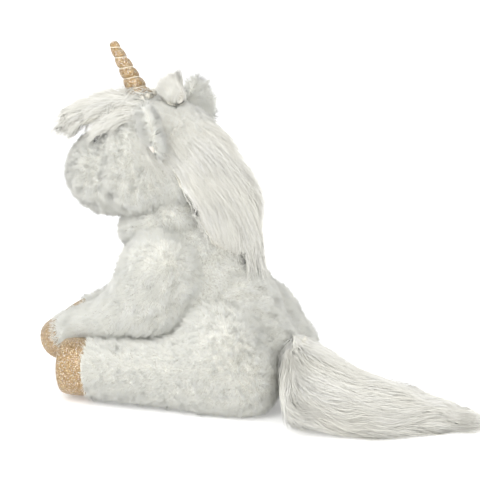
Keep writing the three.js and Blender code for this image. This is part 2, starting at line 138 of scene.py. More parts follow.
def limb(start, end, start_radius, end_radius, flatness=1.0):
    """A round-ended tapering tube; flatness above 1 thins it sideways, about its own start."""
    start, end = np.array(start, float), np.array(end, float)
    along = end - start
    squeeze = np.array([flatness, 1, 1])

    def distance(p):
        share = np.clip((p - start) @ along / (along @ along), 0, 1)[:, None]
        away = np.linalg.norm((p - start - share * along) * squeeze, axis=1)
        return away - (start_radius + share[:, 0] * (end_radius - start_radius))

    return distance


def blended(soft, *forms):
    """Forms joined with a fillet about as wide as soft."""

    def distance(p):
        total = forms[0](p)
        for form in forms[1:]:
            other = form(p)
            share = np.clip(0.5 + 0.5 * (other - total) / soft, 0, 1)
            total = other * (1 - share) + total * share - soft * share * (1 - share)
        return total

    return distance


def creased(form, creases):
    """A form pressed in along lines of points: each crease is its points, its depth and its width."""

    def distance(p):
        total = form(p)
        for points, depth, width in creases:
            nearest = np.full(len(p), 1e9)
            for start, end in zip(points[:-1], points[1:]):
                along = np.array(end) - start
                share = np.clip((p - start) @ along / (along @ along), 0, 1)[:, None]
                nearest = np.minimum(nearest, np.linalg.norm(p - start - share * along, axis=1))
            total = total + depth * np.exp(-((nearest / width) ** 2))
        return total

    return distance


def flowing(part, body, soft, reach):
    """A part whose foot flows into the body that it is sewn to, out to a reach from the part."""
    both = blended(soft, part, body)

    def distance(p):
        own = part(p)
        sunk = np.clip(own / reach, 0, 1) ** 2
        return np.maximum(both(p) + 1.5 * sunk, own - reach)

    return distance


def above(form, height):
    """A form cut off flat at a height, with a soft edge."""

    def distance(p):
        return np.logaddexp(form(p) / 2, (height - p[:, 2]) / 2) * 2

    return distance


def slope(form, p):
    """How fast a form's distance grows along x, y and z."""
    return np.stack([(form(p + e) - form(p - e)) / (2 * SLOPE_STEP) for e in SLOPE_STEP * np.eye(3)], 1)


# ---- meshes --------------------------------------------------------------------------------------

def surface_net(form, low, high, cell):
    """A closed mesh of four-sided faces on a form's surface, with the way each point faces."""
    low, high = np.array(low, float), np.array(high, float)
    counts = np.ceil((high - low) / cell).astype(int) + 1
    axes = [low[i] + cell * np.arange(counts[i]) for i in range(3)]
    grid = np.stack(np.meshgrid(*axes, indexing="ij"), -1)
    inside = (form(grid.reshape(-1, 3)) < 0).reshape(counts)
    cells = counts - 1
    full = np.zeros(cells, int)
    for i, j, k in np.ndindex(2, 2, 2):
        full += inside[i:i + cells[0], j:j + cells[1], k:k + cells[2]]
    mixed = (full > 0) & (full < 8)
    number = np.full(cells, -1)
    number[mixed] = np.arange(mixed.sum())
    points = low + cell * (np.argwhere(mixed) + 0.5)
    faces = []
    for axis in range(3):
        steps = np.eye(3, dtype=int)
        along, u, v = steps[axis], steps[(axis + 1) % 3], steps[(axis + 2) % 3]
        first = inside[:counts[0] - along[0], :counts[1] - along[1], :counts[2] - along[2]]
        second = inside[along[0]:, along[1]:, along[2]:]
        edges = np.argwhere(first != second)
        quads = np.stack([number[tuple((edges - c).T)] for c in (u + v, v, 0 * u, u)], 1)
        turned = ~first[tuple(edges.T)]
        quads[turned] = quads[turned][:, ::-1]
        faces.append(quads)
    for _ in range(4):
        lean = slope(form, points)
        points = points - lean * (form(points) / np.maximum((lean**2).sum(1), 0.1))[:, None]
    return points, np.concatenate(faces), unit(slope(form, points))


def new_object(name, points, faces, materials, face_slots=None, normals=None):
    """A mesh object from points in millimetres and faces of equally many corners."""
    faces = np.ascontiguousarray(faces, dtype=np.int32)
    mesh = bpy.data.meshes.new(name)
    mesh.vertices.add(len(points))
    mesh.vertices.foreach_set("co", (np.asarray(points) * MM).astype(np.float32).ravel())
    mesh.loops.add(faces.size)
    mesh.loops.foreach_set("vertex_index", faces.ravel())
    mesh.polygons.add(len(faces))
    mesh.polygons.foreach_set("loop_start", np.arange(0, faces.size, faces.shape[1], dtype=np.int32))
    for material in materials:
        mesh.materials.append(material)
    if face_slots is not None:
        mesh.polygons.foreach_set("material_index", np.asarray(face_slots, np.int32))
    mesh.update(calc_edges=True)
    mesh.polygons.foreach_set("use_smooth", np.ones(len(faces), bool))
    if normals is not None:
        mesh.normals_split_custom_set_from_vertices(normals.astype(np.float32))
    piece = bpy.data.objects.new(name, mesh)
    bpy.context.scene.collection.objects.link(piece)
    return piece


def softened(node, cell, rounds):
    """A CAD node's shape with its facets smoothed away: points, faces and the way each point faces."""
    piece = bpy.data.objects.new("softening", frame["nodes"][node].data.copy())
    bpy.context.scene.collection.objects.link(piece)
    remesh = piece.modifiers.new("remesh", "REMESH")
    remesh.mode = "VOXEL"
    remesh.voxel_size = cell * MM
    smooth = piece.modifiers.new("smooth", "SMOOTH")
    smooth.iterations = rounds
    smooth.factor = 0.6
    made = piece.evaluated_get(bpy.context.evaluated_depsgraph_get()).to_mesh()
    points = np.zeros(len(made.vertices) * 3)
    made.vertices.foreach_get("co", points)
    facing = np.zeros(len(made.vertices) * 3)
    made.vertices.foreach_get("normal", facing)
    faces = np.array([list(face.vertices) for face in made.polygons if len(face.vertices) == 4])
    bpy.data.objects.remove(piece)
    return points.reshape(-1, 3) / MM, faces, unit(facing.reshape(-1, 3))


def ring_angles(sides):
    return np.arange(sides) / sides * 2 * math.pi


def ring_ways(angles, across, other):
    """The way out from a ring's middle at each angle."""
    return np.cos(angles)[:, None] * across + np.sin(angles)[:, None] * other


def tube_faces(rows, sides):
    """Four-sided faces that join each ring of points to the next."""
    faces = []
    for row in range(rows - 1):
        for s in range(sides):
            n = (s + 1) % sides
            faces.append([row * sides + s, row * sides + n, (row + 1) * sides + n, (row + 1) * sides + s])
    return np.array(faces)


def lathe(profile, start, axis, sides=96, wobble=None):
    """A turned shape: its profile is radius and distance along its axis, a unit vector, from start."""
    across = unit(np.cross(axis, (0.3, 0.2, 1.0)))
    angles = ring_angles(sides)
    ways = ring_ways(angles, across, np.cross(axis, across))
    points = []
    for radius, distance in profile:
        grown = np.full(sides, radius)
        if wobble and radius > 0:
            grown = grown + wobble(angles, distance)
        points.append(start + distance * axis + ways * grown[:, None])
    return np.concatenate(points), tube_faces(len(profile), sides)


def rounded(points, steps=6):
    """A smooth profile through a few points."""
    points = np.array(points, float)
    padded = np.vstack([2 * points[0] - points[1], points, 2 * points[-1] - points[-2]])
    curve = []
    for i in range(1, len(points)):
        a, b, c, d = padded[i - 1:i + 3]
        for t in np.arange(steps) / steps:
            curve.append(0.5 * (2 * b + (c - a) * t + (2 * a - 5 * b + 4 * c - d) * t**2
                                + (3 * b - a - 3 * c + d) * t**3))
    curve.append(points[-1])
    return np.maximum(np.array(curve), (0, -1e9))


# ---- fur -----------------------------------------------------------------------------------------

class Ripple:
    """A smooth wandering vector for every point in space, mostly within one, from crossed waves."""

    def __init__(self, seed, wavelength, waves=9):
        rng = np.random.default_rng(seed)
        lengths = wavelength * rng.uniform(0.6, 1.6, (waves, 1))
        self.waves = unit(rng.normal(size=(waves, 3))) * 2 * math.pi / lengths
        self.phases = rng.uniform(0, 2 * math.pi, (waves, 3))
        self.weight = math.sqrt(2 / waves)

    def __call__(self, p):
        total = np.zeros((len(p), 3))
        for wave, phase in zip(self.waves, self.phases):
            total += np.sin((p @ wave)[:, None] + phase)
        return total * self.weight


def scattered(rng, points, faces, facing, density):
    """Random places all over a surface, with the way it faces there."""
    triangles = np.concatenate([faces[:, [0, 1, 2]], faces[:, [0, 2, 3]]])
    a, b, c = (points[triangles[:, i]] for i in range(3))
    areas = np.linalg.norm(np.cross(b - a, c - a), axis=1) / 2
    count = int(areas.sum() * density)
    chosen = rng.choice(len(triangles), count, p=areas / areas.sum())
    u, v = rng.random(count), rng.random(count)
    folded = u + v > 1
    u[folded], v[folded] = 1 - u[folded], 1 - v[folded]
    shares = np.stack([1 - u - v, u, v], 1)[:, :, None]
    place = (points[triangles[chosen]] * shares).sum(1)
    return place, unit((facing[triangles[chosen]] * shares).sum(1))


MOST_FACES = 190_000  # triangles in one piece
MOST_STRAY = 10.0  # how far hair may pass the box of its own CAD node
TUFT_SPAN = 11.0  # about how far apart the tufts of the pile are
CRINKLE_SPAN = 4.0  # about how far apart the crinkles within a tuft are
LOCK_SPAN = 34.0  # about how far apart the locks of long hair are
WISP_SPAN = 11.0  # about how far apart the wisps within a lock are
PILE_WIDTH = 0.45
PILE_ROOT = 0.6  # how deep the pile starts under its cloth
HAIR_ROOT = 0.8  # how deep long hair starts under its foot
LEAST_LIFT = 0.3  # the least that a hair of the pile stands out from its cloth, of its whole length
LEAST_OUTWARD = 0.35  # the least that a root faces out of the form below it
FLOOR_GAP = 0.6  # how far hair stays above the floor
BUMP_GAP = 15.0  # how near the foot has to be to lift a hair
SHADE_GAP = 12.0  # how near the foot has to be to shade a hair


def strands(name, paths, facing, widths, materials, tints):
    """Tapering three-sided strands along paths, in as few pieces as fit.

    They are lit mostly as the surface that they grow from is.
    """
    count, steps = paths.shape[0], paths.shape[1] - 1
    along = unit(paths[:, 1:] - paths[:, :-1])
    flat = unit(np.cross(along, facing[:, :steps] + 0.01 * UP))
    raised = np.cross(flat, along)
    taper = (1 - (np.arange(steps) / steps) ** 1.5)[None, :, None]
    radius = widths[:, None, None] / 2 * taper
    rings, normals = [], []
    for corner in range(3):
        angle = math.radians(90 - 120 * corner)
        way = math.cos(angle) * flat + math.sin(angle) * raised
        rings.append(paths[:, :steps] + radius * way)
        normals.append(unit(facing[:, :steps] + 0.3 * way))
    points = np.concatenate(rings + [paths[:, steps:]], 1)
    normals = np.concatenate(normals + [facing[:, steps:]], 1)
    tip = 3 * steps
    pattern = []
    for corner in range(3):
        here, there = corner * steps, ((corner + 1) % 3) * steps
        for k in range(steps - 1):
            pattern += [[here + k, there + k, there + k + 1], [here + k, there + k + 1, here + k + 1]]
        pattern.append([here + steps - 1, there + steps - 1, tip])
    pattern = np.array(pattern)
    portions = max(1, math.ceil(count * len(pattern) / MOST_FACES))
    pieces = []
    for number, chosen in enumerate(np.array_split(np.arange(count), portions), 1):
        faces = (np.arange(len(chosen)) * (tip + 1))[:, None, None] + pattern
        piece = new_object(f"{name}_{number}", points[chosen].reshape(-1, 3), faces.reshape(-1, 3),
                           materials, np.repeat(tints[chosen], len(pattern)),
                           normals[chosen].reshape(-1, 3))
        pieces.append(piece)
    return pieces


def pile(name, seed, surface, comb, keep, length=6.5, density=2.8):
    """Short plush pile over the part of a surface to keep, in small tufts that lean together."""
    rng = np.random.default_rng(seed)
    place, facing = scattered(rng, *surface, density)
    kept = keep(place)
    place, facing = place[kept], facing[kept]
    count = len(place)
    tufts = Ripple(seed + 1, TUFT_SPAN)(place)
    crinkle = Ripple(seed + 2, CRINKLE_SPAN)(place)
    comb_way = comb(place)
    comb_way = comb_way - facing * (comb_way * facing).sum(1, keepdims=True)
    lean = facing + 0.35 * comb_way + 0.22 * tufts + 0.18 * crinkle + 0.18 * rng.normal(size=(count, 3))
    lift = (lean * facing).sum(1, keepdims=True)
    lean = unit(lean + facing * np.maximum(LEAST_LIFT - lift, 0))
    reach = length * rng.uniform(0.6, 1.1, count) * (1 + 0.1 * tufts[:, 0])
    root = place - PILE_ROOT * facing
    paths = np.stack([root, root + reach[:, None] * lean], 1)
    widths = PILE_WIDTH * rng.uniform(0.7, 1.3, count)
    tints = (rng.random(count) + 0.15 * tufts[:, 1]) * len(PLUSH_TINTS)
    tints = np.clip(tints, 0, len(PLUSH_TINTS) - 1).astype(int)
    return strands(name, paths, np.repeat(facing[:, None], 2, 1), widths, PLUSH_TINTS, tints)


def long_hair(name, seed, surface, flow, length, density, width, rise, gravity, steps=7, wander=0.12,
              keep=None, clear=None, loose=0.1, room=None):
    """Long hair laid over a surface like thatch: every strand follows the flow and then hangs free.

    It is rooted in the part of the surface to keep, stays clear of a form, and stays near a room.
    """
    rng = np.random.default_rng(seed)
    points, faces, facing = surface
    place, out = scattered(rng, points, faces, facing, density)
    if keep is not None:
        kept = keep(place)
        place, out = place[kept], out[kept]
    if clear is not None:
        outward = (out * unit(slope(clear, place))).sum(1) > LEAST_OUTWARD
        place, out = place[outward], out[outward]
    count = len(place)
    tree = BVHTree.FromPolygons(points.tolist(), faces.tolist())
    locks = Ripple(seed + 1, LOCK_SPAN)
    wisps = Ripple(seed + 2, WISP_SPAN)
    reach = length * rng.uniform(0.55, 1.1, count)
    top = rise * rng.uniform(0.1, 1.0, count) ** 1.5
    stray = rng.normal(size=(count, 3)) * loose
    here = place - HAIR_ROOT * out
    way = flow(here)
    if clear is not None:
        deep = np.minimum(clear(here), 0)[:, None]
        here = here - unit(slope(clear, here)) * deep
    paths, shown = [here], [out]
    for step in range(1, steps + 1):
        share = step / steps
        wanted = flow(here) + wander * locks(here) + wander * 0.5 * wisps(here) + stray * share
        wanted[:, 2] -= gravity * share
        way = unit(way * 0.35 + unit(wanted) * 0.65)
        here = here + way * (reach / steps)[:, None]
        normal = shown[-1].copy()
        for i, point in enumerate(here):
            spot, face_out, _, gap = tree.find_nearest(Vector(point))
            spot, face_out = np.array(spot), np.array(face_out)
            height = (point - spot) @ face_out
            if gap < SHADE_GAP:
                normal[i] = 0.5 * normal[i] + 0.5 * face_out
            lowest = top[i] * min(1.0, 1.5 * share)
            if height < lowest and gap < BUMP_GAP:
                here[i] = point + face_out * (lowest - height)
        if clear is not None:
            away = unit(slope(clear, here))
            gaps = clear(here)
            here = here - away * np.minimum(gaps - top * min(1.0, share + 0.3), 0)[:, None]
            normal = normal + away * np.clip(1.5 - gaps / 8, 0, 1)[:, None]
        if room is not None:
            here = np.clip(here, room.low - MOST_STRAY, room.high + MOST_STRAY)
        here[:, 2] = np.maximum(here[:, 2], FLOOR_GAP * (1 + rng.random(count)))
        paths.append(here)
        shown.append(unit(normal))
    paths, shown = np.stack(paths, 1), np.stack(shown, 1)
    widths = width * rng.uniform(0.6, 1.25, count)
    tints = (rng.random(count) * 0.7 + 0.3 * (0.5 + 0.5 * locks(place)[:, 0])) * len(LONG_TINTS)
    tints = np.clip(tints, 0, len(LONG_TINTS) - 1).astype(int)
    return strands(name, paths, shown, widths, LONG_TINTS, tints)


# ---- materials -----------------------------------------------------------------------------------

def principled(name, color, roughness, **constants):
    """A plain material and its shader; constants are other sockets, with _ for a space."""
    material = bpy.data.materials.new(name)
    material.use_nodes = True
    shader = material.node_tree.nodes["Principled BSDF"]
    shader.inputs["Base Color"].default_value = (*color, 1)
    shader.inputs["Roughness"].default_value = roughness
    for socket, value in constants.items():
        shader.inputs[socket.replace("_", " ")].default_value = value
    return material, shader


def mottled(name, light, dark, roughness, size, bump=0.3, **constants):
    """A cloth or fibre finish: its colour wanders between two tones, over a fine uneven face."""
    material, shader = principled(name, light, roughness, **constants)
    nodes, links = material.node_tree.nodes, material.node_tree.links
    place = nodes.new("ShaderNodeTexCoord")
    patches = nodes.new("ShaderNodeTexNoise")
    patches.inputs["Scale"].default_value = 1 / (size * MM)
    patches.inputs["Detail"].default_value = 6
    links.new(place.outputs["Object"], patches.inputs["Vector"])
    tones = nodes.new("ShaderNodeValToRGB")
    tones.color_ramp.elements[0].color = (*dark, 1)
    tones.color_ramp.elements[0].position = 0.3
    tones.color_ramp.elements[1].color = (*light, 1)
    tones.color_ramp.elements[1].position = 0.65
    links.new(patches.outputs["Fac"], tones.inputs["Fac"])
    links.new(tones.outputs["Color"], shader.inputs["Base Color"])
    fibres = nodes.new("ShaderNodeTexNoise")
    fibres.inputs["Scale"].default_value = 8 / (size * MM)
    fibres.inputs["Detail"].default_value = 3
    links.new(place.outputs["Object"], fibres.inputs["Vector"])
    relief = nodes.new("ShaderNodeBump")
    relief.inputs["Strength"].default_value = bump
    relief.inputs["Distance"].default_value = 0.3 * MM
    links.new(fibres.outputs["Fac"], relief.inputs["Height"])
    links.new(relief.outputs["Normal"], shader.inputs["Normal"])
    return material


def fibre(name, color, roughness=0.85):
    """One tint of strand. The pattern of the fur is in the strands' shapes and their mixed tints."""
    material, _ = principled(name, color, roughness, Sheen_Weight=0.15, Specular_IOR_Level=0.25)
    return material


def glitter(name):
    """Champagne gold cloth under fine flakes that catch the light each their own way."""
    material, shader = principled(name, (0.38, 0.24, 0.105), 0.36, Metallic=0.55, Coat_Weight=0.15)
    nodes, links = material.node_tree.nodes, material.node_tree.links
    place = nodes.new("ShaderNodeTexCoord")
    flakes = nodes.new("ShaderNodeTexVoronoi")
    flakes.inputs["Scale"].default_value = 1 / (0.55 * MM)
    links.new(place.outputs["Object"], flakes.inputs["Vector"])
    split = nodes.new("ShaderNodeSeparateColor")
    links.new(flakes.outputs["Color"], split.inputs["Color"])
    tones = nodes.new("ShaderNodeValToRGB")
    ramp = tones.color_ramp
    ramp.elements[0].color = (0.20, 0.11, 0.04, 1)
    ramp.elements[1].color = (0.90, 0.80, 0.64, 1)
    for position, color in ((0.3, (0.33, 0.22, 0.10)), (0.72, (0.46, 0.32, 0.16)),
                            (0.84, (0.60, 0.42, 0.34)), (0.9, (0.46, 0.50, 0.52)),
                            (0.95, (0.70, 0.58, 0.34))):
        stop = ramp.elements.new(position)
        stop.color = (*color, 1)
    links.new(split.outputs["Red"], tones.inputs["Fac"])
    links.new(tones.outputs["Color"], shader.inputs["Base Color"])
    centred = nodes.new("ShaderNodeVectorMath")
    centred.operation = "SUBTRACT"
    centred.inputs[1].default_value = (0.5, 0.5, 0.5)
    links.new(flakes.outputs["Color"], centred.inputs[0])
    tilt = nodes.new("ShaderNodeVectorMath")
    tilt.operation = "SCALE"
    tilt.inputs["Scale"].default_value = 0.9
    links.new(centred.outputs["Vector"], tilt.inputs[0])
    geometry = nodes.new("ShaderNodeNewGeometry")
    tilted = nodes.new("ShaderNodeVectorMath")
    links.new(geometry.outputs["Normal"], tilted.inputs[0])
    links.new(tilt.outputs["Vector"], tilted.inputs[1])
    level = nodes.new("ShaderNodeVectorMath")
    level.operation = "NORMALIZE"
    links.new(tilted.outputs["Vector"], level.inputs[0])
    links.new(level.outputs["Vector"], shader.inputs["Normal"])
    return material


# The plush backing is tinted well below its pile's fibres: painted shade standing in for the shadow that the
# pile casts on it. Its mottling between two tones is random.
SHADED_PLUSH_BACKING = mottled("plush_backing_painted_shade", (0.70, 0.69, 0.63), (0.60, 0.585, 0.52), 0.95, 6)
LONG_BACKING = mottled("long_fur_backing", (0.80, 0.77, 0.69), (0.62, 0.59, 0.50), 0.95, 5)
LINING_CLOTH = mottled("ear_lining_velour", (0.84, 0.79, 0.72), (0.74, 0.66, 0.58), 0.8, 3,
                       Sheen_Weight=0.4)
STUFFING = mottled("polyester_stuffing", (0.90, 0.90, 0.90), (0.80, 0.80, 0.80), 1.0, 7, bump=0.8)
POUCH_CLOTH = mottled("pouch_cloth", (0.80, 0.77, 0.70), (0.66, 0.63, 0.56), 0.9, 1.2, bump=0.6)
GLITTER = glitter("gold_glitter")
EYE_GLOSS, _ = principled("eye_gloss", (0.012, 0.009, 0.008), 0.06, Coat_Weight=0.6)
WASHER = mottled("washer_plastic", (0.86, 0.86, 0.84), (0.80, 0.80, 0.78), 0.5, 4, bump=0.1)
HORN_THREAD = mottled("horn_thread", (0.86, 0.80, 0.66), (0.70, 0.60, 0.44), 0.5, 0.8)
PLUSH_TINTS = [
    fibre("plush_warm", (0.94, 0.935, 0.86)),
    fibre("plush_white", (0.96, 0.965, 0.89)),
    fibre("plush_bright", (0.97, 0.975, 0.93)),
]
LONG_TINTS = [
    fibre("long_fur_shade", (0.86, 0.84, 0.76), 0.7),
    fibre("long_fur_ivory", (0.91, 0.90, 0.82), 0.7),
    fibre("long_fur_white", (0.94, 0.93, 0.88), 0.7),
]


def finish_nodes(material, *nodes):
    """Gives CAD nodes that stay as they are their material."""
    for node in nodes:
        mesh = frame["nodes"][node].data
        mesh.materials.clear()
        mesh.materials.append(material)


# ---- coats: the sewn plush skins and their pile --------------------------------------------------

TORSO = Room("body_skin")
HEAD = Room("head_skin")
EYE_CLEARANCE = 5.2  # how near the pile comes to an eye's middle
FILLING_DEPTH = 4.0  # how far a filling stays under its coat
LEG_FOOT = 9  # how far a leg's foot spreads over the torso


def torso_form():
    """The seated body with the roll of plush at the neck's foot and the neck, flat below."""
    seat = ellipsoid(TORSO.off(0, 6, -43), (48, 61, 41))
    belly = ellipsoid(TORSO.off(0, -8, -9), (47, 57, 46))
    chest = ellipsoid(TORSO.off(0, -22, 27), (41, 51, 45))
    roll = ellipsoid(TORSO.off(0, -41, 62), (39, 41, 20), 23)
    neck = limb(TORSO.off(0, -35, 50), TORSO.off(0, -38, 92), 35, 33)
    body = blended(14, seat, belly, chest)
    return above(blended(6, blended(6, body, roll), neck), 0)


def head_form():
    """The head with its muzzle and cheeks, creased along the cheeks and the jaw."""
    cranium = ellipsoid(HEAD.off(0, 5, 4), (45, 45, 42))
    occiput = ellipsoid(HEAD.off(0, 29, -4), (38, 34, 38))
    muzzle = ellipsoid(HEAD.off(0, -30, -15), (37, 37, 33))
    cheeks = [ellipsoid(HEAD.off(side * 20, 0, -12), (28, 30, 30)) for side in SIDES.values()]
    whole = blended(10, blended(14, cranium, occiput), *cheeks)
    whole = blended(7, whole, muzzle)
    creases = []
    for side in SIDES.values():
        cheek_line = [HEAD.off(*mirrored(p, side)) for p in ((27, -24, 24), (40, -25, 0), (37, -36, -14))]
        jaw_line = [HEAD.off(*mirrored(p, side)) for p in ((46, 11, 8), (47, 9, -9), (45, 4, -16))]
        creases.append((cheek_line, 4.0, 3.5))
        creases.append((jaw_line, 3.0, 3.0))
    return creased(whole, creases)


def foreleg_form(side):
    """A foreleg from its shoulder down to its hoof."""
    shoulder = joint_place("left_foreleg_lift")
    ankle = node_points("fore_hoof_left").mean(0) + (4, 8, 6)
    stations = [(shoulder + (0, -6, -3), 29), (shoulder + (0, -17, -29), 27),
                (shoulder + (-3, -42, -46), 17)]
    stations = [(mirrored(place, side), radius) for place, radius in stations]
    lower = limb(stations[2][0], mirrored(ankle, side), 17, 14.5)
    upper = [limb(a[0], b[0], a[1], b[1], 1.42) for a, b in zip(stations[:-1], stations[1:])]
    return blended(10, *upper, lower)


def hind_leg_form(side):
    """A folded hind leg: thigh, haunch and the shank to its hoof."""
    hip = joint_place("left_hind_leg_splay")
    knee = hip + (4, -12, -12)
    ankle = node_points("hind_hoof_left").mean(0) + (0, 14, 1)
    thigh = ellipsoid(mirrored(hip + (1, 0, -2), side), (29, 32, 40), square=2.2)
    haunch = ellipsoid(mirrored(hip + (2, 22, -16), side), (25, 25, 26))
    shank = limb(mirrored(knee, side), mirrored(ankle, side), 28, 22)
    return blended(12, thigh, haunch, shank)


def coat(name, form, room, nodes, cell=2.4, margin=(14, 14, 14)):
    """A sewn plush skin: its piece, and its surface as points, faces and the way each point faces."""
    points, faces, facing = surface_net(form, room.low - margin, room.high + margin, cell)
    piece = new_object(name, points, faces, [SHADED_PLUSH_BACKING])
    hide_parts(*nodes)
    return piece, (points, faces, facing)


def stuffed(node, surface):
    """The stuffing that fills a coat, a little inside it."""
    points, faces, facing = surface
    piece = new_object(f"{node}_filling", points - FILLING_DEPTH * facing, faces, [STUFFING])
    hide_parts(node)
    return piece


def upwards(p):
    return np.tile([0.0, 0.1, 0.7], (len(p), 1))


def downwards(p):
    return np.tile([0.0, 0.25, -0.9], (len(p), 1))


def build_body_and_head():
    torso, head = torso_form(), head_form()
    legs = [form(side) for form in (foreleg_form, hind_leg_form) for side in SIDES.values()]
    body, body_surface = coat("body_coat", torso, TORSO, ["body_skin"], margin=(14, 14, 50))
    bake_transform(body)
    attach(stuffed("body_stuffing", body_surface), "torso")
    skull, head_surface = coat("head_coat", head, HEAD, ["head_skin"], cell=2.0)
    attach(skull, "head")
    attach(stuffed("head_stuffing", head_surface), "head")

    def body_shown(p):
        covered = np.minimum.reduce([form(p) for form in legs] + [head(p)])
        return (covered > -9) & (p[:, 2] > 0.5)

    def head_shown(p):
        eyes = [np.linalg.norm(p - node_points(f"eye_{name}").mean(0), axis=1) for name in SIDES]
        return (torso(p) > -3) & (np.minimum(*eyes) > EYE_CLEARANCE)

    for fur in pile("body_fur", 101, body_surface, downwards, body_shown):
        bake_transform(fur)

    def face_comb(p):
        away = p - HEAD.off(0, -70, 0)
        return unit(away) * 0.6 - 0.3 * UP

    for fur in pile("head_fur", 111, head_surface, face_comb, head_shown):
        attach(fur, "head")
    return torso, head, head_surface


def build_legs(torso):
    for name, side in SIDES.items():
        for leg, form_of, soft in (("foreleg", foreleg_form, 14), ("hind_leg", hind_leg_form, 18)):
            node = f"{leg}_{name}_skin"
            form = above(flowing(form_of(side), torso, soft, LEG_FOOT), 0)
            body = f"{name}_{leg}"
            piece, surface = coat(f"{leg}_{name}_coat", form, Room(node), [node], margin=(44, 34, 34))
            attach(piece, body)
            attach(stuffed(f"{leg}_{name}_stuffing", surface), body)
            hoof = "fore" if leg == "foreleg" else "hind"
            sole = node_points(f"{hoof}_sole_{name}").mean(0)
            cup_points = node_points(f"{hoof}_hoof_{name}")
            cup = cup_points.mean(0)
            along = unit(sole - cup)
            cuff = ((cup_points - cup) @ along).min()

            def towards_hoof(p, target=sole):
                return unit(target - p) * 0.8 - 0.3 * UP

            def shown(p, cup=cup, along=along, cuff=cuff):
                return (torso(p) > -1.5) & (p[:, 2] > 0.5) & ((p - cup) @ along < cuff + 5)

            seed = 200 + 20 * (leg == "hind_leg") + 5 * (name == "right")
            for fur in pile(f"{leg}_{name}_fur", seed, surface, towards_hoof, shown):
                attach(fur, body)


# ---- long fur ------------------------------------------------------------------------------------

DRAWN_IN = 0.65  # how much of the length behind its end a foot loses
TAIL_TIP = 34  # the length at the tail's end that is hair alone
TAIL_TUCK = 11  # how far under the plush of the rump the foremost hairs are rooted
TAIL_TUCK_SPAN = 26  # the length over which that wears off
SLICE_REACH = 14  # half the thickness of a slice across the tail


def bulk(name, node, body, cell=2.4, rounds=12, shrink=4.0, end=math.inf):
    """The dense foot of a long fur, under its hair, drawn in behind its end."""
    points, faces, facing = softened(node, cell, rounds)
    points = points - facing * shrink
    points[:, 1] -= DRAWN_IN * np.maximum(points[:, 1] - end, 0)
    piece = new_object(name, points, faces, [LONG_BACKING])
    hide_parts(node)
    if body:
        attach(piece, body)
    return piece, (points, faces, facing)


def build_mane(torso, head, head_surface):
    base, surface = bulk("mane_foot", "mane", None)
    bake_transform(base)

    def flow(p):
        side = np.clip(p[:, 0] / 40, -1, 1)
        height = np.clip((p[:, 2] - HEAD.middle[2]) / HEAD.half[2], -1.5, 1)
        return unit(np.stack([0.3 * side * height, 0.62 + 0.35 * height, -0.75 + 0.25 * height], 1))

    def rooted(p):
        return p[:, 2] - HEAD.low[2] - 26 > -0.8 * (p[:, 1] + 2)

    hair = long_hair("mane_hair", 301, surface, flow, length=48, density=0.9, width=0.5, rise=3.5,
                     gravity=0.12, keep=rooted, clear=blended(4, torso, head), loose=0.16)
    for piece in hair:
        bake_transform(piece)

    def on_poll(p):
        high = p[:, 2] - HEAD.middle[2] > 16 - 0.25 * (p[:, 1] - HEAD.middle[1])
        return high & (p[:, 1] > HEAD.middle[1] - 2)

    poll = long_hair("poll_hair", 306, head_surface, flow, length=34, density=0.9, width=0.5, rise=3.0,
                     gravity=0.1, keep=on_poll, clear=head, loose=0.14)
    for piece in poll:
        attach(piece, "head")


def build_forelock(head, head_surface):
    _, surface = bulk("forelock_foot", "forelock", "head", cell=1.8, rounds=10)
    room = Room("forelock")
    horn_foot, _ = horn_axis()

    def flow(p):
        side = p[:, 0] / room.half[0]
        front = np.clip((room.middle[1] - p[:, 1]) / room.half[1], -1, 1)
        near_horn = np.exp(-((np.linalg.norm(p - horn_foot, axis=1) / 13) ** 2))
        way = np.stack([0.45 * side, -0.9 + 0.4 * near_horn,
                        -0.3 - 0.45 * np.clip(front, 0, 1) + 1.2 * near_horn], 1)
        return unit(way)

    hair = long_hair("forelock_hair", 321, surface, flow, length=31, density=1.5, width=0.42, rise=12.0,
                     gravity=0.5, clear=head, loose=0.35)

    def on_brow(p):
        fore = horn_foot[1] + 12 - p[:, 1]
        return (fore > 0) & (fore < 34) & (p[:, 2] > horn_foot[2] - 22) & (np.abs(p[:, 0]) < 30)

    hair += long_hair("brow_hair", 326, head_surface, flow, length=26, density=1.3, width=0.42,
                      rise=12.0, gravity=0.5, keep=on_brow, clear=head, loose=0.35)
    for piece in hair:
        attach(piece, "head")


def build_crown():
    _, surface = bulk("crown_foot", "crown_tuft", "head", cell=1.6, rounds=6, shrink=5.0)
    room = Room("crown_tuft")

    def flow(p):
        away = (p - room.off(0, 0, -30)) * (0.7, 0.7, 1)
        return unit(unit(away) + 0.2 * UP)

    hair = long_hair("crown_hair", 331, surface, flow, length=16, density=3.0, width=0.42, rise=3.0,
                     gravity=0.2, steps=5, wander=0.45)
    for piece in hair:
        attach(piece, "head")


def tail_slices():
    """Slices across the CAD tail: y, the middle's x and z, and half the size in x and z."""
    points = node_points("tail")
    room = Room("tail")
    slices = []
    for y in np.linspace(room.low[1], room.high[1], 15):
        near = points[np.abs(points[:, 1] - y) < SLICE_REACH]
        low, high = near.min(0), near.max(0)
        slices.append((y, *(low + high)[[0, 2]] / 2, *(high - low)[[0, 2]] / 2))
    return np.array(slices)


